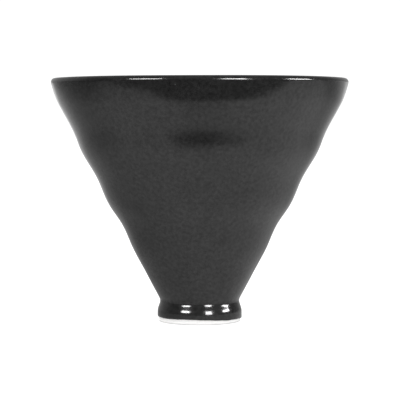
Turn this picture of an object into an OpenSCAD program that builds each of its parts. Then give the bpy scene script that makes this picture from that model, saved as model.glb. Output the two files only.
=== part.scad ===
// Conical filter funnel in black-glazed white stoneware.
// It stands on a bare foot round an open outlet. A loose perforated plate
// drops into the cone and wedges there, and a cut disc of paper covers it.
// Units are millimetres. +Z is up, and the origin is the centre of the foot's
// lower face.

/* [Funnel] */
// Outside diameter of the rim at its widest
rim_d = 120; // [110:1:135]
// Overall height, foot to rim
height = 98.8; // [92:0.1:110]
// Thickness of the finished wall, glaze included
wall = 4.2; // [3.6:0.1:5]
// Thickness of the finished wall at the rounded rim
lip = 3; // [2.8:0.1:4.6]
// Lean of the wall where it meets the rim, off the vertical, in degrees
rim_lean = 15; // [8:1:24]
// How far the rim is drawn in from the straight cone
rim_tuck = 1.45; // [0:0.05:2]
// Height of the band under the rim that is drawn in
tuck_band = 8; // [5:0.5:12]

/* [Throwing rings] */
// Height from one crest to the next
ring_pitch = 20; // [20:0.1:21]
// Crests and grooves, as offsets from the straight cone, from the neck upward
ring_offsets = [-0.2, -0.05, 0.2, -0.45, 0.75, 0, 0.75, -0.2, 0.1]; // [-1:0.05:1]
// Share of a ring that also shows on the inside
inside_share = 0.5; // [0:0.1:1]

/* [Neck and foot] */
// Outside diameter of the neck at its narrowest
neck_d = 32.3; // [30:0.1:34]
// Height of the neck's narrowest point
neck_z = 8.5; // [7:0.1:9]
// Outside diameter of the rolled bead below the neck
bead_d = 34.4; // [32:0.1:37]
// Height of the bead's widest point
bead_z = 3.5; // [3:0.1:4.5]
// Diameter of the ring that touches the bench
foot_d = 30.8; // [29:0.1:31]
// Diameter of the outlet, glaze included
bore_d = 24; // [21:0.5:24.5]
// Height at which the glaze stops and bare clay starts
glaze_line_z = 2; // [1.6:0.1:2.6]
// Thickness of the glaze, square to the wall
glaze_t = 0.4; // [0.2:0.05:0.6]

/* [Filter plate] */
// Diameter of the plate at its upper face, before its edge is chamfered
plate_d = 39; // [37:0.5:42]
// Thickness of the plate
plate_t = 4; // [3:0.5:5]
// Diameter of one perforation
hole_d = 1.6; // [1:0.1:2]
// Distance from one circle of perforations to the next
hole_pitch = 3.7; // [3.2:0.1:3.8]
// Number of circles of perforations round the middle one
hole_rings = 4; // [2:1:4]
// Gap between the plate's edge and the wall it wedges in
seat_gap = 0.08; // [0.05:0.01:0.2]

/* [Filter paper] */
// Diameter of the paper before its edge is turned up
paper_d = 42.5; // [41.5:0.5:44]
// Thickness of the paper
paper_t = 0.2; // [0.15:0.05:0.4]

/* [Hidden] */

// Colours
black_glaze = [0.13, 0.13, 0.135];
bare_clay = [0.93, 0.92, 0.89];
white_porcelain = [0.95, 0.95, 0.94];
paper_white = [0.97, 0.96, 0.93];

$fn = 96;

// Spacing of the outline's points, up to just above the neck and on the wall
neck_step = 0.5;
wall_step = 2;
fine_z = 2 * neck_z;
// Angle between points on the rounding of the rim and of the foot
arc_step = 15;
// Length over which the cone runs into the neck, and into the outlet
neck_blend = 0.4;
throat_blend = 1.2;
// How fast the bead steepens under the crease and rounds off towards its widest point
bead_roll = 2.65;
// How much narrower the bead is at the bench than at its widest, as a radius
bead_curl = 0.5;
// Height of the rounding at the foot's outer and inner lower edges
foot_round = 1.4;
bore_round = 0.7;
// How sharply the wall draws in under the rim
tuck_power = 1.5;
// Height over which the inside wall changes from plain cone to its full shape
inside_fade = 10;
// Height and width of the chamfer on the plate's edges
plate_edge = 0.5;
plate_edge_w = 0.8;
// Chamfer on the perforations
hole_edge = 0.25;
// Corners of a perforation
hole_fn = 24;
// How far a cutter passes the faces that it cuts
overrun = 1;
// Air under the paper, and between its turned-up edge and the wall
paper_gap = 0.06;
paper_side_gap = 0.12;
// How far in from the wall the paper starts to turn up
paper_turn = 0.6;

neck_r = neck_d / 2;
bead_r = bead_d / 2;
foot_r = foot_d / 2;
bore_r = bore_d / 2;
plate_r = plate_d / 2;
lip_r = lip / 2;

// The rim is a half round about this centre, and the outside wall ends on it
lip_centre = [rim_d / 2 - lip_r, height - lip_r];
wall_top = lip_centre + lip_r * [cos(rim_lean), -sin(rim_lean)];
tuck_z = wall_top[1] - tuck_band;

// The straight cone starts at the neck and would meet the rim but for the tuck
cone_slope = (wall_top[0] + rim_tuck - neck_r) / (wall_top[1] - neck_z);
cone_secant = sqrt(1 + pow(cone_slope, 2));

// The plate sits where the cone inside is as wide as the plate
plate_top = neck_z + (plate_r + seat_gap + wall * cone_secant - neck_r) / cone_slope;
plate_z = plate_top - plate_t;
// The outlet's straight wall ends here, where the cone starts to open
throat_z = neck_z + (bore_r - throat_blend + wall * cone_secant - neck_r) / cone_slope;
// The inside is a plain cone up to here, so that the plate seats evenly
plain_inside_z = plate_top + inside_fade;

function clamp(x) = min(1, max(0, x));
function ease(x) = (1 - cos(180 * clamp(x))) / 2;

// The larger of a and b, with the corner between them rounded over k
function smooth_max(a, b, k) = max(a, b) + pow(max(0, k - abs(a - b)), 2) / (4 * k);

// Offset of the throwing rings at height z, eased from each crest to its groove
function ring_step(z) = clamp((z - neck_z) / (ring_pitch / 2) / (len(ring_offsets) - 1))
    * (len(ring_offsets) - 1);
function ring(z) =
    let (s = ring_step(z), i = min(floor(s), len(ring_offsets) - 2))
    ring_offsets[i] + (ring_offsets[i + 1] - ring_offsets[i]) * ease(s - i);

// How far the wall is drawn in under the rim, and how fast
function tuck(z) = rim_tuck * pow(max(0, z - tuck_z) / tuck_band, tuck_power);
function tuck_rate(z) =
    tuck_power * rim_tuck / tuck_band * pow(max(0, z - tuck_z) / tuck_band, tuck_power - 1);

// A wall's horizontal thickness, from its thickness square to the cone
function level_width(t, z) = t * sqrt(1 + pow(cone_slope - tuck_rate(z), 2));

function cone_r(z, share) = neck_r + cone_slope * (z - neck_z) + share * ring(z) - tuck(z);

// Neck and bead: narrow at neck_z, widest at bead_z, curling in under the bead
function roll(t) = 1 - pow(1 - t, bead_roll) * (1 + bead_roll * t);
function collar_r(z) = z > bead_z
    ? neck_r + (bead_r - neck_r) * roll(clamp((neck_z - z) / (neck_z - bead_z)))
    : bead_r - bead_curl * pow((bead_z - z) / bead_z, 2);

function outside_r(z) = smooth_max(cone_r(z, 1), collar_r(z), neck_blend);

// Inside, the rings fade in above the paper and the wall thins from there to the lip
function wall_at(z) = wall + (lip - wall) * clamp((z - plain_inside_z) / (height - plain_inside_z));
function inside_cone_r(z) =
    cone_r(z, inside_share * clamp((z - plain_inside_z) / inside_fade)) - level_width(wall_at(z), z);
function inside_r(z) = smooth_max(inside_cone_r(z), bore_r, throat_blend);

// Heights at which the outlines have points, from z0 up to z1
function heights(z0, z1) = concat(
    [for (z = [z0 : neck_step : fine_z - neck_step / 2]) z],
    [for (z = [fine_z : wall_step : z1 - wall_step / 2]) z],
    [z1]);
function reversed(list) = [for (i = [len(list) - 1 : -1 : 0]) list[i]];

// One surface of the wall, at a depth of clay or glaze below the finished one
function outside(z0, depth) =
    [for (z = heights(z0, wall_top[1] + depth * sin(rim_lean)))
        [outside_r(z) - level_width(depth, z), z]];
function inside(z0, depth) =
    let (top_z = lip_centre[1] + (lip_r - depth) * sin(rim_lean),
         outlet_r = bore_r + level_width(depth, throat_z))
    concat(
        [for (z = reversed(heights(throat_z + neck_step, top_z)))
            [inside_r(z) + level_width(depth, z), z]],
        [[outlet_r, throat_z], [outlet_r, z0]]);

// The rim between the two, as a half round
function rim(depth) =
    [for (a = [-rim_lean + arc_step : arc_step : 180 - rim_lean - arc_step])
        lip_centre + (lip_r - depth) * [cos(a), sin(a)]];

// A quarter ellipse that rounds the foot, from its lower face to height glaze_line_z
function foot_outside() =
    let (top_r = outside_r(glaze_line_z) - level_width(glaze_t, glaze_line_z))
    [for (a = [0 : arc_step : 90 - arc_step])
        [foot_r + (top_r - foot_r) * sin(a), foot_round * (1 - cos(a))]];
function foot_inside() =
    let (r = bore_r + level_width(glaze_t, 0))
    [for (a = [90 : -arc_step : 0])
        [r + bore_round * (1 - sin(a)), bore_round * (1 - cos(a))]];

// White stoneware, bare on the foot and inside the mouth of the outlet
module clay_body() {
    color(bare_clay)
    rotate_extrude()
    polygon(concat(
        foot_outside(),
        outside(glaze_line_z, glaze_t),
        rim(glaze_t),
        inside(glaze_line_z, glaze_t),
        foot_inside()));
}

// Glaze on both sides of the wall and over the rim, down to the glaze line
module glaze_coat() {
    color(black_glaze)
    rotate_extrude()
    polygon(concat(
        outside(glaze_line_z, 0),
        rim(0),
        inside(glaze_line_z, 0),
        reversed(inside(glaze_line_z, glaze_t)),
        reversed(rim(glaze_t)),
        reversed(outside(glaze_line_z, glaze_t))));
}

// One perforation with softened edges, standing on z = 0. The two chamfer cones
// are twice as tall as the chamfers, so that they pass the plate's faces.
module perforation() {
    wide_d = hole_d + 4 * hole_edge;
    translate([0, 0, -overrun])
    cylinder(d = hole_d, h = plate_t + 2 * overrun, $fn = hole_fn);
    translate([0, 0, plate_t - hole_edge])
    cylinder(d1 = hole_d, d2 = wide_d, h = 2 * hole_edge, $fn = hole_fn);
    translate([0, 0, -hole_edge])
    cylinder(d1 = wide_d, d2 = hole_d, h = 2 * hole_edge, $fn = hole_fn);
}

// Loose plate, bevelled to the cone so that it wedges level
module filter_plate() {
    top_r = inside_r(plate_top) - seat_gap;
    foot_of_bevel_r = inside_r(plate_z + plate_edge) - seat_gap;
    head_of_bevel_r = inside_r(plate_top - plate_edge) - seat_gap;
    color(white_porcelain)
    translate([0, 0, plate_z])
    difference() {
        rotate_extrude()
        polygon([
            [0, 0],
            [foot_of_bevel_r - plate_edge_w, 0],
            [foot_of_bevel_r, plate_edge],
            [head_of_bevel_r, plate_t - plate_edge],
            [top_r - plate_edge_w, plate_t],
            [0, plate_t]]);
        perforation();
        for (i = [1 : hole_rings], k = [0 : 6 * i - 1])
            rotate(60 * k / i)
            translate([hole_pitch * i, 0, 0])
            perforation();
    }
}

// Disc of paper with its edge turned up against the wall
module filter_paper() {
    low = plate_top + paper_gap;
    bend_r = inside_r(low) - paper_turn;
    edge_z = low + (paper_d / 2 - bend_r) / cone_secant;
    edge_r = inside_r(edge_z) - paper_side_gap;
    color(paper_white)
    rotate_extrude()
    polygon([
        [0, low],
        [bend_r, low],
        [edge_r, edge_z],
        [edge_r - paper_t * cone_secant, edge_z],
        [bend_r - paper_t / 2, low + paper_t],
        [0, low + paper_t]]);
}

clay_body();
glaze_coat();
filter_plate();
filter_paper();
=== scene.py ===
"""Looks for a conical filter funnel in black-glazed white stoneware.

The glaze, the clay, the plate and the paper are rebuilt as fine meshes on the
lines of the CAD nodes they replace. Lengths are in metres, +Z is up, and the
camera stands on the -Y side.
"""

import math

import bpy
import numpy as np
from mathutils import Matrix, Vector
from mathutils.bvhtree import BVHTree
from mathutils.geometry import delaunay_2d_cdt


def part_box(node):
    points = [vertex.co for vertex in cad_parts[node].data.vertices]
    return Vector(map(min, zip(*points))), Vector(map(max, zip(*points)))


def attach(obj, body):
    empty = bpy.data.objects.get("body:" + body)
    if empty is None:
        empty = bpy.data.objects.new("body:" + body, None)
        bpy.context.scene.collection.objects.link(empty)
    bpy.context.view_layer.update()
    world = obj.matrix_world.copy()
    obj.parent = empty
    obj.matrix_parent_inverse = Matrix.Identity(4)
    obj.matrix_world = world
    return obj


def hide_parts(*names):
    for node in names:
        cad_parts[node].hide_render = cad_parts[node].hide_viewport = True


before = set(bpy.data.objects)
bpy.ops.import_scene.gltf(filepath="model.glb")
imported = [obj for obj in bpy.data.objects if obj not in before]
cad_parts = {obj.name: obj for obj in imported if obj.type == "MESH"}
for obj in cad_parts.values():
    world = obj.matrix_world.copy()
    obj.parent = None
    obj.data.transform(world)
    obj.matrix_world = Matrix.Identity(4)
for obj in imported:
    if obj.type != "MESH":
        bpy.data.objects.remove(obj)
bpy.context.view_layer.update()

MM = 0.001

# Steps round the axis, and along an outline where it shows and where it doesn't
AROUND = 384
FINE = 0.4 * MM
FOOT_FINE = 0.12 * MM
HIDDEN = 2 * MM
# Outline heights are told apart to this many decimals of a metre, and a height that is less than
# a hair from another one counts as the same
LEVEL_DIGITS, HAIR = 7, 1e-6
# Rays that look for the CAD's walls run this far off its corners' heights and at this azimuth, so
# that each meets a face, and have to land this near a corner
RAY_NUDGE, RAY_AZIMUTH, RAY_MATCH = 0.002 * MM, 0.37, 0.1 * MM


# ---------------------------------------------------------------- outlines

def ease(value, low, high):
    """0 below low, 1 above high, and a smooth step between them."""
    t = np.clip((value - low) / (high - low), 0, 1)
    return t * t * (3 - 2 * t)


def wall_line(node, outer):
    """The corners of a CAD node's outline on its outer or inner side, from the bottom up."""
    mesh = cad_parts[node].data
    corners = np.array([v.co for v in mesh.vertices])
    radius = np.hypot(corners[:, 0], corners[:, 1])
    tree = BVHTree.FromPolygons([v.co for v in mesh.vertices], [p.vertices for p in mesh.polygons])
    heading = Vector((math.cos(RAY_AZIMUTH), math.sin(RAY_AZIMUTH), 0))
    middle = (corners[:, 2].min() + corners[:, 2].max()) / 2
    line = []
    for level in np.unique(np.round(corners[:, 2], LEVEL_DIGITS)):
        z = level + (RAY_NUDGE if level < middle else -RAY_NUDGE)
        start = Vector((0, 0, z)) + (heading if outer else Vector())
        hit = tree.ray_cast(start, -heading if outer else heading)[0]
        if hit is None:
            continue
        here = radius[np.abs(corners[:, 2] - level) < 10 ** -LEVEL_DIGITS]
        nearest = here[np.argmin(np.abs(here - math.hypot(hit.x, hit.y)))]
        if abs(nearest - math.hypot(hit.x, hit.y)) < RAY_MATCH:
            line.append((nearest, level))
    return np.array(line)


def filled(points, gap):
    """The points with more added on any straight stretch longer than gap."""
    out = [points[0]]
    for a, b in zip(points[:-1], points[1:]):
        count = math.ceil(np.hypot(*(b - a)) / gap)
        out += [a + (b - a) * k / count for k in range(1, count + 1)]
    return np.array(out)


# A curve through a straight stretch has points at least this often, or it would sway
LONGEST_CHORD = 2.5 * MM


def flowing(points, step):
    """A smooth curve through the points: a natural cubic spline by chord length."""
    points = filled(np.asarray(points, float), LONGEST_CHORD)
    gap = np.hypot(*np.diff(points, axis=0).T)
    along = np.concatenate([[0], np.cumsum(gap)])
    system, right = np.eye(len(points)), np.zeros((len(points), 2))
    for i in range(1, len(points) - 1):
        system[i, i - 1:i + 2] = gap[i - 1], 2 * (gap[i - 1] + gap[i]), gap[i]
        right[i] = 6 * ((points[i + 1] - points[i]) / gap[i] - (points[i] - points[i - 1]) / gap[i - 1])
    bend = np.linalg.solve(system, right)
    at = np.linspace(0, along[-1], math.ceil(along[-1] / step) + 1)
    i = np.clip(np.searchsorted(along, at, side="right") - 1, 0, len(points) - 2)
    a = ((along[i + 1] - at) / gap[i])[:, None]
    b = 1 - a
    sag = ((a ** 3 - a) * bend[i] + (b ** 3 - b) * bend[i + 1]) * gap[i][:, None] ** 2 / 6
    return a * points[i] + b * points[i + 1] + sag


def arc(centre, radius, start, stop, step):
    """Points round a centre from one angle to another, in radians, both ends left out."""
    count = max(2, math.ceil(abs(stop - start) * radius / step))
    angles = np.linspace(start, stop, count + 1)[1:-1]
    return np.stack([centre[0] + radius * np.cos(angles), centre[1] + radius * np.sin(angles)], 1)


def round_rim(outer, inner, centre, step):
    """The rim's half round, from the top of the outer line to the top of the inner one."""
    ends = [line[-1] - centre for line in (outer, inner)]
    start, stop = (math.atan2(z, r) for r, z in ends)
    return arc(centre, np.hypot(*ends[0]), start, stop % (2 * math.pi), step)


# ------------------------------------------------------------------ meshes

def ripple(points, size, seed, waves=14):
    """Smooth noise of about -1 to 1 with bumps about size across, from seeded plane waves."""
    random = np.random.default_rng(seed)
    way = random.normal(size=(waves, 3))
    way *= 2 * math.pi / size / np.linalg.norm(way, axis=1)[:, None]
    way *= random.uniform(0.6, 1.4, (waves, 1))
    phase = random.uniform(0, 2 * math.pi, waves)
    return np.cos(points @ way.T + phase).sum(1) / math.sqrt(waves) / 1.4


def new_piece(name, points, faces, slot, body, node):
    """A smooth-shaded mesh that rides on a CAD body and stands for a CAD node."""
    mesh = bpy.data.meshes.new(name)
    mesh.from_pydata(points.tolist(), [], faces)
    mesh.validate()
    mesh.shade_smooth()
    mesh.materials.append(surfaces[slot])
    piece = bpy.data.objects.new(name, mesh)
    bpy.context.scene.collection.objects.link(piece)
    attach(piece, body)
    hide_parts(node)
    return piece


def revolved(outline, shape, segments=AROUND, closed=True):
    """Points and faces of an outline turned round the axis, outside facing out.

    shape(azimuth, radius, height) gives each point's final radius and height.
    An end that lies on the axis becomes one point.
    """
    azimuth = np.arange(segments) * 2 * math.pi / segments
    a, r = np.meshgrid(azimuth, outline[:, 0])
    z = np.repeat(outline[:, 1][:, None], segments, 1)
    r, z = shape(a.ravel(), r.ravel(), z.ravel())
    points = np.stack([r * np.cos(a.ravel()), r * np.sin(a.ravel()), z], 1)
    rows = len(outline)
    index = np.arange(rows * segments).reshape(rows, segments)
    turned = np.roll(index, -1, 1)
    if closed:
        upper, upper_turned = np.roll(index, -1, 0), np.roll(turned, -1, 0)
        quads = np.stack([index, turned, upper_turned, upper], -1)
    else:
        quads = np.stack([index[:-1], turned[:-1], turned[1:], index[1:]], -1)
    faces = quads.reshape(-1, 4)
    if closed:
        return points, faces.tolist()
    # The open ends lie on the axis: their rings shrink to single points
    keep = faces[segments:-segments]
    start, end = len(points), len(points) + 1
    points = np.vstack([points, points[index[0]].mean(0), points[index[-1]].mean(0)])
    fans = [[start, turned[1, k], index[1, k]] for k in range(segments)]
    fans += [[end, index[-2, k], turned[-2, k]] for k in range(segments)]
    used = np.concatenate([index[1:-1].ravel(), [start, end]])
    renumber = np.zeros(len(points), int)
    renumber[used] = np.arange(len(used))
    return points[used], [renumber[f].tolist() for f in list(keep) + fans]


# ---------------------------------------------------------- material nodes

class Graph:
    """Adds nodes to one node tree. An input may be a value, a colour or another node's output."""

    def __init__(self, tree):
        self.tree = tree
        tree.nodes.clear()

    def add(self, kind, inputs=None, **settings):
        node = self.tree.nodes.new(kind)
        for key, value in settings.items():
            setattr(node, key, value)
        for key, value in (inputs or {}).items():
            if isinstance(value, bpy.types.NodeSocket):
                self.tree.links.new(value, node.inputs[key])
            else:
                node.inputs[key].default_value = value
        return node

    def math(self, operation, *values):
        return self.add("ShaderNodeMath", dict(enumerate(values)), operation=operation).outputs[0]

    def vector(self, operation, *values):
        node = self.add("ShaderNodeVectorMath", dict(enumerate(values)), operation=operation)
        return node.outputs["Value" if operation in ("LENGTH", "DOT_PRODUCT") else "Vector"]

    def fit(self, value, low, high, to_low=0.0, to_high=1.0, smooth=False):
        kind = "SMOOTHSTEP" if smooth else "LINEAR"
        inputs = {"Value": value, "From Min": low, "From Max": high, "To Min": to_low, "To Max": to_high}
        return self.add("ShaderNodeMapRange", inputs, interpolation_type=kind).outputs["Result"]

    def blend(self, factor, a, b, kind="FLOAT"):
        """a where factor is 0 and b where it is 1, for numbers or, with kind RGBA, for colours."""
        node = self.add("ShaderNodeMix", data_type=kind)
        first = {"FLOAT": 2, "RGBA": 6}[kind]
        for key, value in ((0, factor), (first, a), (first + 1, b)):
            if isinstance(value, bpy.types.NodeSocket):
                self.tree.links.new(value, node.inputs[key])
            else:
                node.inputs[key].default_value = value
        return node.outputs[{"FLOAT": 0, "RGBA": 2}[kind]]

    def place(self, stretch=(1, 1, 1)):
        """Object coordinates, stretched."""
        source = self.add("ShaderNodeTexCoord").outputs["Object"]
        return self.vector("MULTIPLY", source, stretch)

    def noise(self, size, detail=2.0, rough=0.5, stretch=(1, 1, 1)):
        """Noise of 0 to 1 whose bumps are about size across."""
        inputs = {"Vector": self.place(stretch), "Scale": 1 / size, "Detail": detail, "Roughness": rough}
        return self.add("ShaderNodeTexNoise", inputs).outputs["Fac"]

    def specks(self, spacing, size):
        """1 in scattered specks about size across, and 0 between them."""
        inputs = {"Vector": self.place(), "Scale": 1 / spacing, "Randomness": 1.0}
        distance = self.add("ShaderNodeTexVoronoi", inputs).outputs["Distance"]
        return self.fit(distance, size / spacing, 0.6 * size / spacing, smooth=True)

    def bump(self, height, depth, under=None):
        inputs = {"Height": height, "Distance": depth, "Strength": 1.0}
        if under is not None:
            inputs["Normal"] = under
        return self.add("ShaderNodeBump", inputs).outputs["Normal"]


# The part of a noise node's output that a material's variation is stretched over
NOISE_RANGE = 0.3, 0.7


def grey(value, warmth=0.0):
    """A neutral colour, or one with a little more red than blue."""
    return (value * (1 + warmth), value, value * (1 - warmth), 1)


def surface(name, build):
    """A material whose one shader is what build(graph) gives."""
    material = bpy.data.materials.new(name)
    material.use_nodes = True
    graph = Graph(material.node_tree)
    graph.add("ShaderNodeOutputMaterial", {"Surface": build(graph).outputs[0]})
    return material


# How far below the top of the rim the glaze's peel starts to fade, and is gone
PEEL_FADES, PEEL_ENDS = 4 * MM, 2 * MM


def black_glaze(graph):
    """Deep black glaze: satin gloss, a faint orange peel, rare pinholes and softly varying body."""
    cloud = graph.noise(11 * MM, 3)
    grain = graph.noise(1.3 * MM, 2)
    pinhole = graph.specks(9 * MM, 0.35 * MM)
    tone = graph.fit(cloud, *NOISE_RANGE, 0.0075, 0.0105)
    tone = graph.math("MULTIPLY", tone, graph.fit(grain, *NOISE_RANGE, 0.64, 1.5))
    shine = graph.fit(grain, *NOISE_RANGE, 0.44, 0.56)
    colour = graph.add("ShaderNodeCombineColor", {0: tone, 1: tone, 2: tone}).outputs[0]
    rough = graph.fit(graph.noise(4 * MM, 4), *NOISE_RANGE, 0.12, 0.17)
    # The peel and the pinholes flow out where the glaze thins over the rim
    height = graph.add("ShaderNodeSeparateXYZ", {0: graph.place()}).outputs["Z"]
    below_rim = graph.fit(height, rim_top - PEEL_FADES, rim_top - PEEL_ENDS, 1, 0, smooth=True)
    peel = graph.bump(graph.math("MULTIPLY", grain, below_rim), 0.006 * MM)
    pinhole = graph.math("MULTIPLY", pinhole, below_rim)
    peel = graph.bump(graph.math("SUBTRACT", 1, pinhole), 0.05 * MM, peel)
    return graph.add("ShaderNodeBsdfPrincipled", {
        "Base Color": colour, "Roughness": rough, "IOR": 1.5, "Specular IOR Level": shine,
        "Normal": peel})


def bare_clay(graph):
    """Fired white stoneware: chalky and fine-grained, with grey grains and a warm edge at the glaze."""
    grain = graph.noise(0.25 * MM, 4, 0.6)
    fleck = graph.specks(1.7 * MM, 0.16 * MM)
    height = graph.add("ShaderNodeSeparateXYZ", {0: graph.place()}).outputs["Z"]
    toast = graph.fit(height, 1.4 * MM, 2.3 * MM, smooth=True)
    patches = graph.noise(6 * MM, 3)
    toast = graph.math("MULTIPLY", toast, graph.fit(patches, 0.35, 0.65))
    colour = graph.blend(toast, grey(0.93, 0.006), grey(0.85, 0.035), "RGBA")
    colour = graph.blend(graph.fit(grain, 0.35, 0.75, 0, 0.25), colour, grey(0.75, 0.02), "RGBA")
    colour = graph.blend(graph.math("MULTIPLY", fleck, 0.55), colour, grey(0.3, 0.03), "RGBA")
    tooling = graph.add("ShaderNodeTexWave", {
        "Vector": graph.place(), "Scale": 1 / (3.2 * MM), "Distortion": 0.6, "Detail": 2.0},
        wave_type="RINGS", rings_direction="Z").outputs["Fac"]
    normal = graph.bump(tooling, 0.02 * MM, graph.bump(grain, 0.03 * MM))
    return graph.add("ShaderNodeBsdfPrincipled", {
        "Base Color": colour, "Roughness": 0.88, "IOR": 1.45, "Normal": normal})


def white_porcelain(graph):
    """Glazed porcelain: bright, faintly blue-white, with a soft orange peel and tiny iron specks."""
    cloud = graph.noise(8 * MM, 3)
    speck = graph.specks(6 * MM, 0.18 * MM)
    colour = graph.blend(cloud, grey(0.84, -0.008), grey(0.79, 0.004), "RGBA")
    colour = graph.blend(graph.math("MULTIPLY", speck, 0.6), colour, (0.35, 0.27, 0.2, 1), "RGBA")
    rough = graph.fit(graph.noise(2 * MM, 3), *NOISE_RANGE, 0.09, 0.2)
    peel = graph.bump(graph.noise(1.1 * MM, 2), 0.01 * MM)
    return graph.add("ShaderNodeBsdfPrincipled", {
        "Base Color": colour, "Roughness": rough, "IOR": 1.5, "Normal": peel,
        "Subsurface Weight": 0.15, "Subsurface Radius": (1, 0.9, 0.8), "Subsurface Scale": 1 * MM})


def filter_paper(graph):
    """Cotton-linter paper: matt, a little warm, with crossed fibres and a cloudy formation."""
    cloud = graph.noise(2.4 * MM, 4, 0.6)
    along = graph.noise(0.35 * MM, 3, 0.6, (1, 0.16, 1))
    across = graph.noise(0.35 * MM, 3, 0.6, (0.16, 1, 1))
    fibre = graph.math("MAXIMUM", along, across)
    colour = graph.blend(graph.fit(cloud, *NOISE_RANGE), grey(0.79, 0.03), grey(0.86, 0.02), "RGBA")
    colour = graph.blend(graph.fit(fibre, 0.55, 0.75, 0, 0.4), colour, grey(0.93, 0.012), "RGBA")
    normal = graph.bump(fibre, 0.03 * MM, graph.bump(cloud, 0.05 * MM))
    return graph.add("ShaderNodeBsdfPrincipled", {
        "Base Color": colour, "Roughness": 0.95, "IOR": 1.4, "Normal": normal,
        "Subsurface Weight": 0.2, "Subsurface Radius": (1, 0.95, 0.9), "Subsurface Scale": 0.4 * MM})


# ------------------------------------------------------- the wall, in lines

glaze_out = wall_line("glaze_coat", True)
glaze_in = wall_line("glaze_coat", False)
clay_out = wall_line("clay_body", True)
clay_in = wall_line("clay_body", False)

rim_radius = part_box("glaze_coat")[1].x
rim_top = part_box("glaze_coat")[1].z
glaze_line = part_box("glaze_coat")[0].z
crown = glaze_out[glaze_out[:, 1] > rim_top - HAIR][0]
lip_radius = rim_radius - crown[0]
rim_centre = np.array([crown[0], rim_top - lip_radius])
glaze_thick = rim_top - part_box("clay_body")[1].z

# The rim's own points come off the lines: the outer ends just below its centre, the inner just above
outer_end = rim_centre[1] - 0.05 * lip_radius
inner_end = rim_centre[1] + 0.3 * lip_radius
glaze_out = glaze_out[glaze_out[:, 1] < outer_end]
clay_out = clay_out[clay_out[:, 1] < outer_end]
glaze_in = glaze_in[glaze_in[:, 1] < inner_end]
clay_in = clay_in[clay_in[:, 1] < inner_end]

# The throwing rings alone, as the outer line less its straight trend
ring_low, ring_high = 0.14 * rim_top, 0.9 * rim_top
straight = glaze_out[(glaze_out[:, 1] > ring_low) & (glaze_out[:, 1] < ring_high)]
trend = np.polyfit(straight[:, 1], straight[:, 0], 1)
smooth_out = flowing(glaze_out, FINE)


def rings(height):
    """How far the throwing rings stand off the straight cone at a height."""
    return np.interp(height, smooth_out[:, 1], smooth_out[:, 0]) - np.polyval(trend, height)


# Hand-made departures from a true turning
OUT_OF_ROUND = 0.1 * MM
RIM_DIP = 0.14 * MM
RING_TILT = 1 * MM
GLAZE_BLOBS, BLOB_SIZE = 0.022 * MM, 13 * MM
LINE_WAVE = 0.14 * MM
LINE_DROP = 0.7 * MM
LINE_RISE = 0.45 * MM
FRONT, RIGHT = -math.pi / 2, 0
# Heights between which the oval, the tilt, the dip and the blobs set in or fade
OVAL_FROM, OVAL_FULL = 0.32 * rim_top, 0.6 * rim_top
TILT_FULL, TILT_FADES, TILT_ENDS = 0.3 * rim_top, 0.86 * rim_top, 0.93 * rim_top
DIP_FROM = 0.88 * rim_top
BLOBS_FROM, BLOBS_FULL = 4 * MM, 12 * MM
# Height over which the three-cornered part of the oval turns by one radian
OVAL_TWIST = 15 * MM
# The glaze follows its wavy line up to the first height above it, and is true again at the second
LINE_FOLLOWS, LINE_ENDS = 0.3 * MM, 2.2 * MM
# How much the glaze stands out at its edge, how high above the line, and over what height
EDGE_FULLNESS, EDGE_HEIGHT, EDGE_WIDTH = 0.07 * MM, 0.45 * MM, 0.5 * MM
# Lumps on the bare foot, and how far its underside lifts off the bench below a given height
FOOT_LUMPS = 0.035 * MM
FOOT_HOLLOW, HOLLOW_HEIGHT = 0.02 * MM, 0.05 * MM
# Height above the glaze line up to which the clay is made finely
BARE_MARGIN = 1.5 * MM


def thrown(azimuth, radius, height, outer):
    """Radius and height of a wall point after the slight wobble of a hand-thrown piece."""
    upper = ease(height, OVAL_FROM, OVAL_FULL)
    oval = np.cos(2 * azimuth + 0.3) + 0.2 * np.sin(3 * azimuth + 1.9 + height / OVAL_TWIST)
    moved = radius + OUT_OF_ROUND * oval * upper
    # Each ring is a little higher at the front than at the back
    tilted = ease(height, ring_low, TILT_FULL) * (1 - ease(height, TILT_FADES, TILT_ENDS))
    shift = RING_TILT * np.cos(azimuth - FRONT) * tilted
    moved = moved + np.where(outer, rings(height - shift) - rings(height), 0)
    dip = (np.sin(2 * azimuth + 2.4) + 0.4 * np.sin(5 * azimuth) - 1.4) / 2
    return moved, height + RIM_DIP * dip * ease(height, DIP_FROM, rim_top)


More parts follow.
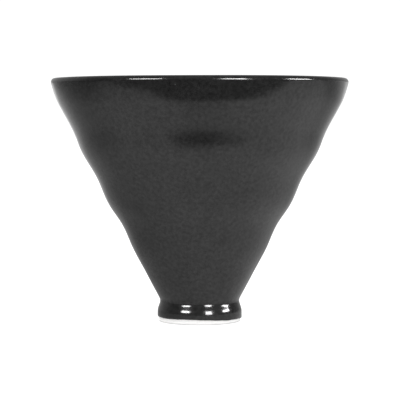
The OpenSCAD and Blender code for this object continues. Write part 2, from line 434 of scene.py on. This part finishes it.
def build_glaze():
    """The glaze as a closed skin: finished side, rounded lower edges, and the side on the clay."""
    on_clay_out = clay_out[clay_out[:, 1] > glaze_line - HAIR]
    on_clay_in = clay_in[clay_in[:, 1] > glaze_line - HAIR]
    up = flowing(glaze_out, FINE)
    down = flowing(glaze_in, FINE)[::-1]
    back_up = flowing(on_clay_in, HIDDEN)
    back_down = flowing(on_clay_out, HIDDEN)[::-1]
    edge = glaze_thick / 2
    inner_edge = arc((down[-1] + back_up[0]) / 2, edge, math.pi, 2 * math.pi, edge / 3)
    outer_edge = arc((back_down[-1] + up[0]) / 2, edge, math.pi, 2 * math.pi, edge / 3)
    shown = [up, round_rim(up, glaze_in, rim_centre, FINE / 2), down]
    hidden = [back_up, round_rim(clay_out, clay_in, rim_centre, FINE)[::-1], back_down]
    outline = np.vstack(shown + [inner_edge] + hidden + [outer_edge])
    count_out, count_shown = len(up), sum(map(len, shown))
    outer_rows = np.zeros(len(outline), bool)
    outer_rows[:count_out] = True
    outer_rows[-len(back_down) - len(outer_edge):] = True
    skin_rows = np.zeros(len(outline), bool)
    skin_rows[:count_shown] = True

    def shape(azimuth, radius, height):
        outer = np.repeat(outer_rows, AROUND)
        skin = np.repeat(skin_rows, AROUND)
        r, z = thrown(azimuth, radius, height, outer)
        points = np.stack([radius * np.cos(azimuth), radius * np.sin(azimuth), height], 1)
        blobs = ripple(points, BLOB_SIZE, 5) * ease(height, BLOBS_FROM, BLOBS_FULL)
        r = r + np.where(skin & outer, GLAZE_BLOBS * blobs, 0)
        # The glaze ran to a wavy line round the foot, lower on the right, higher at the front and
        # a little fuller at its edge
        near_line = 1 - ease(height, glaze_line + LINE_FOLLOWS, glaze_line + LINE_ENDS)
        circle = np.stack([np.cos(azimuth), np.sin(azimuth), np.where(outer, 0.0, 1.0)], 1)
        wave = ripple(circle, 0.9, 11) + 0.4 * ripple(circle, 0.3, 12)
        drop = (0.5 + 0.5 * np.cos(azimuth - RIGHT)) ** 2
        rise = (0.5 + 0.5 * np.cos(azimuth - FRONT)) ** 4
        z = z + (LINE_WAVE * wave + LINE_RISE * rise - LINE_DROP * drop) * near_line
        full = np.exp(-((height - glaze_line - EDGE_HEIGHT) / EDGE_WIDTH) ** 2)
        r = r + np.where(skin & outer, EDGE_FULLNESS * full, 0)
        return r, z

    return revolved(outline, shape)


def build_clay():
    """The clay body, fine on the bare foot and plain where the glaze covers it."""
    bare = glaze_line + BARE_MARGIN
    foot_out, foot_in = clay_out[clay_out[:, 1] < bare], clay_in[clay_in[:, 1] < bare]
    up = flowing(foot_out, FOOT_FINE)
    hidden_up = flowing(clay_out[len(foot_out) - 1:], HIDDEN)[1:]
    hidden_down = flowing(clay_in[len(foot_in) - 1:], HIDDEN)[::-1][:-1]
    down = flowing(foot_in, FOOT_FINE)[::-1]
    under = filled(np.array([down[-1], up[0]]), FOOT_FINE)[1:-1]
    rim = round_rim(clay_out, clay_in, rim_centre, FINE)
    outline = np.vstack([up, hidden_up, rim, hidden_down, down, under])
    outer_rows = np.zeros(len(outline), bool)
    outer_rows[:len(up) + len(hidden_up)] = True

    def shape(azimuth, radius, height):
        r, z = thrown(azimuth, radius, height, np.repeat(outer_rows, AROUND))
        points = np.stack([radius * np.cos(azimuth), radius * np.sin(azimuth), height], 1)
        foot = 1 - ease(height, 0.6 * glaze_line, glaze_line)
        lumps = ripple(points, 5 * MM, 21) + 0.5 * ripple(points, 1.3 * MM, 22)
        r = r + FOOT_LUMPS * lumps * foot
        # The underside is a touch hollow between its edges and rests on most of its width
        hollow = np.maximum(1 + ripple(points, 2 * MM, 23), 0)
        z = z + FOOT_HOLLOW * hollow * foot * (height < HOLLOW_HEIGHT)
        return r, z

    return revolved(outline, shape)


# ------------------------------------------------------ the plate and paper

# A perforation's straight wall starts within this height, and its corners lie within this reach
WALL_FOOT, HOLE_REACH = 0.3 * MM, 1.8 * MM
# Rounding of the plate's and the holes' edges, and how finely each is made
PLATE_EDGE, HOLE_EDGE = 0.5 * MM, 0.3 * MM
PLATE_SIDES, HOLE_SIDES, EDGE_STEPS = 192, 24, 5
# Points of a flat face that are nearer than this are one point
WELD = 1e-9


def hole_centres(node):
    """The perforations' centres and radius, and the plate's lowest and highest levels.

    They are read off the corners at the foot of the perforations' straight walls.
    """
    corners = np.array([v.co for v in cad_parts[node].data.vertices])
    low, high = corners[:, 2].min(), corners[:, 2].max()
    levels = np.unique(np.round(corners[:, 2], 6))
    foot_of_wall = levels[levels < low + WALL_FOOT][-1]
    ring = corners[np.abs(corners[:, 2] - foot_of_wall) < HAIR][:, :2]
    groups = []
    for point in ring:
        for group in groups:
            if np.hypot(*(group[0] - point)) < HOLE_REACH:
                group.append(point)
                break
        else:
            groups.append([point])
    centres = np.array([(np.min(g, 0) + np.max(g, 0)) / 2 for g in groups])
    radius = np.median([np.hypot(*(np.array(g) - c).T).max() for g, c in zip(groups, centres)])
    return centres, radius, low, high


def rounded_wall(low, high, low_r, high_r, edge, side):
    """Radius and height of rings up a wall with rounded edges; side is 1 outside and -1 in a hole."""
    quarter = np.linspace(0, math.pi / 2, EDGE_STEPS)
    inset, rise = edge * (1 - np.sin(quarter)), edge * (1 - np.cos(quarter))
    return [*zip(low_r - side * inset, low + rise), *zip(high_r - side * rise, high - inset)]


def turned_wall(centre, wall, count, first, side):
    """Points, faces and two end rims of a wall turned round a centre, numbered from first."""
    turn = np.arange(count) * 2 * math.pi / count
    x, y = np.cos(turn), np.sin(turn)
    loops = [np.stack([centre[0] + r * x, centre[1] + r * y, np.full(count, z)], 1) for r, z in wall]
    index = first + np.arange(len(wall) * count).reshape(len(wall), count)
    turned = np.roll(index, -1, 1)
    quads = np.stack([index[:-1], turned[:-1], turned[1:], index[1:]], -1).reshape(-1, 4)
    faces = quads if side > 0 else quads[:, ::-1]
    return np.vstack(loops).tolist(), faces.tolist(), (index[0], index[-1])


def flat_face(points, rims, centres, clear, upward):
    """Triangles between the plate's rim and the holes' rims at one level."""
    flat = np.concatenate(rims)
    where = [Vector(points[v][:2]) for v in flat]
    edges, start = [], 0
    for rim in rims:
        edges += [(start + k, start + (k + 1) % len(rim)) for k in range(len(rim))]
        start += len(rim)
    made, _, triangles, _, _, _ = delaunay_2d_cdt(where, edges, [], 1, WELD)
    faces = []
    for triangle in triangles:
        a, b, c = (made[v] for v in triangle)
        if np.min(np.hypot(*(centres - np.array((a + b + c) / 3)).T)) < clear:
            continue
        left = (b - a).cross(c - a) > 0
        ordered = triangle if left == upward else triangle[::-1]
        faces.append([int(flat[v]) for v in ordered])
    return faces


def build_plate(centres, hole_radius, low, high):
    """A perforated plate with soft edges: two flat faces, a bevelled side and the holes' walls."""
    side = wall_line("filter_plate", True)
    low_r, high_r = np.interp([low + PLATE_EDGE, high - PLATE_EDGE], side[:, 1], side[:, 0])
    outer = rounded_wall(low, high, low_r, high_r, PLATE_EDGE, 1)
    hole = rounded_wall(low, high, hole_radius, hole_radius, HOLE_EDGE, -1)
    points, faces, ends = [], [], []
    walls = [((0, 0), outer, PLATE_SIDES, 1)] + [(c, hole, HOLE_SIDES, -1) for c in centres]
    for centre, wall, count, facing in walls:
        more_points, more_faces, rims = turned_wall(centre, wall, count, len(points), facing)
        points += more_points
        faces += more_faces
        ends.append(rims)
    # Only a triangle inside a hole has its middle nearer to the hole's centre than this
    clear = (hole_radius + HOLE_EDGE) * math.cos(math.pi / HOLE_SIDES)
    for level, upward in ((0, False), (1, True)):
        faces += flat_face(points, [rims[level] for rims in ends], centres, clear, upward)
    return np.array(points), faces


# The paper's thickness, the width of its bend, and how far up its edge the bend reaches
PAPER_THICK, BEND_WIDTH, BEND_RISE = 0.2 * MM, 1.1 * MM, 0.5 * MM
# Distance between the paper's circles of points, from the first one, and its segments round
PAPER_FIRST, PAPER_STEP, PAPER_AROUND = 0.35 * MM, 0.3 * MM, 288
# Puckers round the edge: how many, how far in and how far down they go
PUCKERS, PUCKER_IN, PUCKER_DOWN = 46, 0.3 * MM, 0.12 * MM
# How far inside the bend the puckers set in, and the flat part starts to end and has ended
PUCKERS_FROM, FLAT_FADES, FLAT_ENDS = 0.6 * MM, 1.6 * MM, 0.8 * MM
# How far the flat part cockles up, over what distance, and how far it dips over a hole
COCKLE, COCKLE_SIZE, HOLE_DIP = 0.06 * MM, 14 * MM, 0.05 * MM


def paper_outline(bend_r, low, edge_r, high):
    """The paper's under side from the axis to its edge, and its upper side back again."""
    start, corner, rim = np.array([[bend_r - BEND_WIDTH, low], [bend_r, low], [edge_r, high]])
    leave = corner + (rim - corner) / np.hypot(*(rim - corner)) * BEND_RISE
    flat = [(r, low) for r in [0, *np.arange(PAPER_FIRST, bend_r - BEND_WIDTH, PAPER_STEP)]]
    bend = [(1 - t) ** 2 * start + 2 * t * (1 - t) * corner + t * t * leave
            for t in np.linspace(0, 1, 9)]
    straight = [leave + (rim - leave) * t for t in np.linspace(0, 1, 6)[1:]]
    under = np.array([*flat, *bend, *straight])
    way = np.gradient(under, axis=0)
    way /= np.hypot(*way.T)[:, None]
    over = under + PAPER_THICK * np.stack([-way[:, 1], way[:, 0]], 1)
    over[0] = (0, low + PAPER_THICK)
    return np.vstack([under, over[::-1]])


def build_paper(centres, hole_radius):
    """A paper disc that dips over each hole, with its edge turned up in small puckers."""
    low, high = (corner.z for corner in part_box("filter_paper"))
    edge_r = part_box("filter_paper")[1].x
    bend_r = wall_line("filter_paper", True)[0][0]

    def shape(azimuth, radius, height):
        turned = ease(radius, bend_r - PUCKERS_FROM, edge_r)
        phase = 0.5 * np.sin(3 * azimuth + 0.4) + 0.35 * np.sin(7 * azimuth + 2)
        pucker = 0.5 + 0.5 * np.cos(PUCKERS * azimuth + 2.2 * phase)
        strength = 0.65 + 0.35 * np.sin(5 * azimuth + 1.1)
        r = radius - PUCKER_IN * turned * pucker * strength
        z = height + PUCKER_DOWN * turned * (pucker - 1) * strength
        flat = 1 - ease(radius, bend_r - FLAT_FADES, bend_r - FLAT_ENDS)
        x, y = radius * np.cos(azimuth), radius * np.sin(azimuth)
        nearest = np.min(np.hypot(x[:, None] - centres[:, 0], y[:, None] - centres[:, 1]), 1)
        dip = np.exp(-(nearest / (0.85 * hole_radius)) ** 2)
        spots = np.stack([x, y, 0 * x], 1)
        wave = 0.5 + 0.5 * np.clip(ripple(spots, COCKLE_SIZE, 31), -1, 1)
        return r, z + flat * (COCKLE * wave - HOLE_DIP * dip)

    return revolved(paper_outline(bend_r, low, edge_r, high), shape, PAPER_AROUND, closed=False)


# One finish for each of the record's material slots, which the functions are named after
surfaces = {build.__name__: surface(build.__name__ + "_finish", build)
            for build in (black_glaze, bare_clay, white_porcelain, filter_paper)}
centres, hole_radius, plate_low, plate_high = hole_centres("filter_plate")

new_piece("glaze", *build_glaze(), "black_glaze", "funnel", "glaze_coat")
new_piece("clay", *build_clay(), "bare_clay", "funnel", "clay_body")
plate = new_piece("perforated_plate", *build_plate(centres, hole_radius, plate_low, plate_high),
                  "white_porcelain", "plate", "filter_plate")
plate.modifiers.new("even_faces", "WEIGHTED_NORMAL").keep_sharp = True
new_piece("paper_disc", *build_paper(centres, hole_radius), "filter_paper", "paper", "filter_paper")


# ------------------------------------------------------------------ studio

# All the light is turned a little to the right of the camera
LIGHT_TURN = math.radians(15)
AHEAD = (math.sin(LIGHT_TURN), -math.cos(LIGHT_TURN), 0)
ASIDE = (math.cos(LIGHT_TURN), math.sin(LIGHT_TURN), 0)
# What the glaze mirrors of the table is painted: an emission only glossy rays see, with a painted pool
# of light in front, dimmer behind, brighter again far off and brightest where it ends
POOL_LIGHT, BEHIND_LIGHT, FAR_LIGHT, FARTHEST_LIGHT = 0.84, 0.42, 0.28, 0.45
POOL_BACK, POOL_FULL = -90 * MM, 60 * MM
# How far behind the funnel the far and the farthest light set in, and are full
FAR_FROM, FAR_FULL = -120 * MM, -450 * MM
FARTHEST_FROM, FARTHEST_FULL = -350 * MM, -1300 * MM
# How much the table brightens to the right, per metre and up to this far to each side
RIGHT_GAIN, GAIN_REACH = 0.6, 0.3
# What it loses far to the left and right, and how far aside that starts and is full
LEFT_LOSS, RIGHT_LOSS, LOSS_FROM, LOSS_FULL = 0.65, 0.35, 100 * MM, 450 * MM
# A painted shadow of the funnel, behind it on the left, in what the glaze mirrors of the table
PAINTED_SHADOW_SPOT, PAINTED_SHADOW_REACH, PAINTED_SHADOW_LOSS = Vector((-60, 15, 0)) * MM, 85 * MM, 0.3
# Where the table ends towards the camera, how far it slants over this distance to each side, and
# how soft the end is
TABLE_END, END_SLANT, SLANT_REACH, END_SOFT = 121 * MM, 5 * MM, 100 * MM, 25 * MM
# How much further out the painted light on the table reaches on the left, and the middle, half width and
# full part of that
SPILL_REACH, SPILL_ASIDE, SPILL_WIDTH, SPILL_CORE = 42 * MM, -130 * MM, 110 * MM, 10 * MM
# The room beyond it, painted on the floor for the glaze, the walls in front, at the sides and behind,
# and what is overhead
ROOM_LIGHT, FRONT_WALL, SIDE_WALLS, BACK_WALL, OVERHEAD = 0.16, 0.3, 0.2, 0.45, 0.4
# Where the front, the back and the overhead set in and are full, as the part of a direction that
# points ahead or up
FRONT_FROM, FRONT_FULL, BACK_FROM, BACK_FULL = 0.1, 0.7, -0.1, -0.8
OVERHEAD_FROM, OVERHEAD_FULL = 0.35, 0.95
# The floor outside the reflections: white paper that also glows, but less close round the foot as a
# painted contact shadow
PAPER_WHITE, PAPER_GLOW, CONTACT_GLOW, CONTACT_WIDTH = 0.4, 1.1, 0.3, 2.5 * MM
# The white backdrop that the camera sees, and the soft light from all round on matt surfaces
BACKDROP, SKY_LIGHT = 1.08, 0.5
FLOOR_RADIUS, FLOOR_SIDES = 6, 64
# Lamps stand this far from the middle of the funnel
LAMP_DISTANCE = 0.9
# The camera's distance and height, its small shift to the right, and its tilt and view in degrees
CAMERA_AWAY, CAMERA_HEIGHT, CAMERA_ASIDE = 0.668, 0.0833, 0.00013
CAMERA_TILT, CAMERA_VIEW = 2.913, 13.896
SENSOR_WIDTH = 36


def painted_table_reflection(graph):
    """Painted reflection: brightness of the table in the glaze, from where a spot lies on it."""
    spot = graph.add("ShaderNodeNewGeometry").outputs["Position"]
    ahead = graph.vector("DOT_PRODUCT", spot, AHEAD)
    aside = graph.vector("DOT_PRODUCT", spot, ASIDE)
    pool = graph.fit(ahead, POOL_BACK, POOL_FULL, BEHIND_LIGHT, POOL_LIGHT, smooth=True)
    far = graph.fit(ahead, FAR_FROM, FAR_FULL, 0, FAR_LIGHT, smooth=True)
    farthest = graph.fit(ahead, FARTHEST_FROM, FARTHEST_FULL, 0, FARTHEST_LIGHT, smooth=True)
    most = GAIN_REACH * RIGHT_GAIN
    gain = graph.fit(aside, -GAIN_REACH, GAIN_REACH, 1 - most, 1 + most)
    left = graph.fit(aside, -LOSS_FROM, -LOSS_FULL, 1, 1 - LEFT_LOSS, smooth=True)
    right = graph.fit(aside, LOSS_FROM, LOSS_FULL, 1, 1 - RIGHT_LOSS, smooth=True)
    # Painted shadow: the table dims round a spot behind the funnel on the left
    away = graph.vector("LENGTH", graph.vector("SUBTRACT", spot, PAINTED_SHADOW_SPOT))
    shadow = graph.fit(away, 0.25 * PAINTED_SHADOW_REACH, PAINTED_SHADOW_REACH, 1 - PAINTED_SHADOW_LOSS, 1, smooth=True)
    table = graph.math("ADD", pool, graph.math("ADD", far, farthest))
    for factor in (gain, left, right, shadow):
        table = graph.math("MULTIPLY", table, factor)
    # The near end runs nearly straight across in front of the camera but for the painted spill of light
    # on the left
    place = graph.add("ShaderNodeSeparateXYZ", {0: spot}).outputs
    from_spill = graph.math("ABSOLUTE", graph.math("SUBTRACT", place["X"], SPILL_ASIDE))
    spill = graph.fit(from_spill, SPILL_WIDTH, SPILL_CORE, 0, -SPILL_REACH, smooth=True)
    slant = graph.fit(place["X"], -SLANT_REACH, SLANT_REACH,
                      END_SLANT - TABLE_END, -END_SLANT - TABLE_END)
    past_end = graph.math("SUBTRACT", graph.math("ADD", spill, slant), place["Y"])
    outside = graph.fit(past_end, -END_SOFT, END_SOFT, smooth=True)
    return graph.blend(outside, table, ROOM_LIGHT)


def floor_shader(graph):
    """White paper with a soft contact shadow, partly painted as less glow round the foot; the glaze sees
    a painted reflection of the table with its pool of light.
    """
    painted_reflection = graph.add("ShaderNodeEmission", {"Strength": painted_table_reflection(graph)})
    paper = graph.add("ShaderNodeBsdfDiffuse", {"Color": grey(PAPER_WHITE)})
    spot = graph.add("ShaderNodeNewGeometry").outputs["Position"]
    foot_radius = float(clay_out[0, 0])
    # Painted contact shadow: the glow fades close round the foot
    glow = graph.fit(graph.vector("LENGTH", spot), foot_radius, foot_radius + CONTACT_WIDTH,
                     CONTACT_GLOW, PAPER_GLOW, smooth=True)
    lift = graph.add("ShaderNodeEmission", {"Strength": glow})
    lit = graph.add("ShaderNodeAddShader", {0: paper.outputs[0], 1: lift.outputs[0]})
    # Glossy rays see the painted reflection of the table instead of the paper
    glossy = graph.add("ShaderNodeLightPath").outputs["Is Glossy Ray"]
    return graph.add("ShaderNodeMixShader", {0: glossy, 1: lit.outputs[0], 2: painted_reflection.outputs[0]})


def build_world():
    """White to the camera, softer on matt surfaces, and the room's darker walls in reflections."""
    world = bpy.data.worlds.new("studio")
    bpy.context.scene.world = world
    world.use_nodes = True
    graph = Graph(world.node_tree)
    way = graph.add("ShaderNodeTexCoord").outputs["Generated"]
    height = graph.add("ShaderNodeSeparateXYZ", {0: way}).outputs["Z"]
    facing = graph.vector("DOT_PRODUCT", way, AHEAD)
    front = graph.fit(facing, FRONT_FROM, FRONT_FULL, SIDE_WALLS, FRONT_WALL, smooth=True)
    back = graph.fit(facing, BACK_FROM, BACK_FULL, 0, BACK_WALL - SIDE_WALLS, smooth=True)
    overhead = graph.fit(height, OVERHEAD_FROM, OVERHEAD_FULL, smooth=True)
    mirrored = graph.blend(overhead, graph.math("ADD", front, back), OVERHEAD)
    ray = graph.add("ShaderNodeLightPath").outputs
    strength = graph.blend(ray["Is Camera Ray"], SKY_LIGHT, BACKDROP)
    strength = graph.blend(ray["Is Glossy Ray"], strength, mirrored)
    light = graph.add("ShaderNodeBackground", {"Color": grey(1.0), "Strength": strength})
    graph.add("ShaderNodeOutputWorld", {"Surface": light.outputs[0]})


def add_lamp(name, azimuth, elevation, width, height, radiance, mirrored=True):
    """A soft box aimed at the middle of the funnel, its place and size in degrees.

    Azimuth is measured rightward from the camera. The lamp is either mirrored in what shines or
    lights what is matt.
    """
    a, e = math.radians(azimuth), math.radians(elevation)
    aim = Vector((0, 0, rim_top / 2))
    away = Vector((math.sin(a) * math.cos(e), -math.cos(a) * math.cos(e), math.sin(e)))
    light = bpy.data.lights.new(name, "AREA")
    light.shape = "RECTANGLE"
    light.size = 2 * LAMP_DISTANCE * math.tan(math.radians(width / 2))
    light.size_y = 2 * LAMP_DISTANCE * math.tan(math.radians(height / 2))
    light.energy = radiance * math.pi * light.size * light.size_y
    lamp = bpy.data.objects.new(name, light)
    lamp.location = aim + away * LAMP_DISTANCE
    lamp.rotation_mode = "QUATERNION"
    lamp.rotation_quaternion = away.to_track_quat("Z", "Y")
    lamp.visible_camera = False
    lamp.visible_glossy = mirrored
    lamp.visible_diffuse = not mirrored
    bpy.context.scene.collection.objects.link(lamp)


def build_floor():
    """A round floor, much wider than the view."""
    mesh = bpy.data.meshes.new("floor")
    turn = np.arange(FLOOR_SIDES) * 2 * math.pi / FLOOR_SIDES
    ring = np.stack([FLOOR_RADIUS * np.cos(turn), FLOOR_RADIUS * np.sin(turn), 0 * turn], 1)
    mesh.from_pydata(ring.tolist(), [], [list(range(FLOOR_SIDES))])
    mesh.materials.append(surface("floor_paper", floor_shader))
    floor = bpy.data.objects.new("floor", mesh)
    bpy.context.scene.collection.objects.link(floor)


def build_camera():
    """The camera stands a little lower than the rim and looks slightly down."""
    lens = bpy.data.cameras.new("camera")
    lens.sensor_width = SENSOR_WIDTH
    lens.lens = SENSOR_WIDTH / 2 / math.tan(math.radians(CAMERA_VIEW / 2))
    lens.clip_start, lens.clip_end = 0.01, 50
    camera = bpy.data.objects.new("camera", lens)
    camera.location = (CAMERA_ASIDE, -CAMERA_AWAY, CAMERA_HEIGHT)
    camera.rotation_euler = (math.radians(90 - CAMERA_TILT), 0, 0)
    bpy.context.scene.collection.objects.link(camera)
    bpy.context.scene.camera = camera


build_floor()
build_world()
add_lamp("lamp_left", azimuth=-40, elevation=16.5, width=22, height=9, radiance=40)
add_lamp("lamp_near", azimuth=25, elevation=11.5, width=17, height=19, radiance=30)
add_lamp("lamp_right", azimuth=79, elevation=13.5, width=21, height=8.5, radiance=38)
add_lamp("lamp_above", azimuth=20, elevation=60, width=40, height=40, radiance=3.2, mirrored=False)
build_camera()
bpy.context.scene.view_settings.view_transform = "Standard"
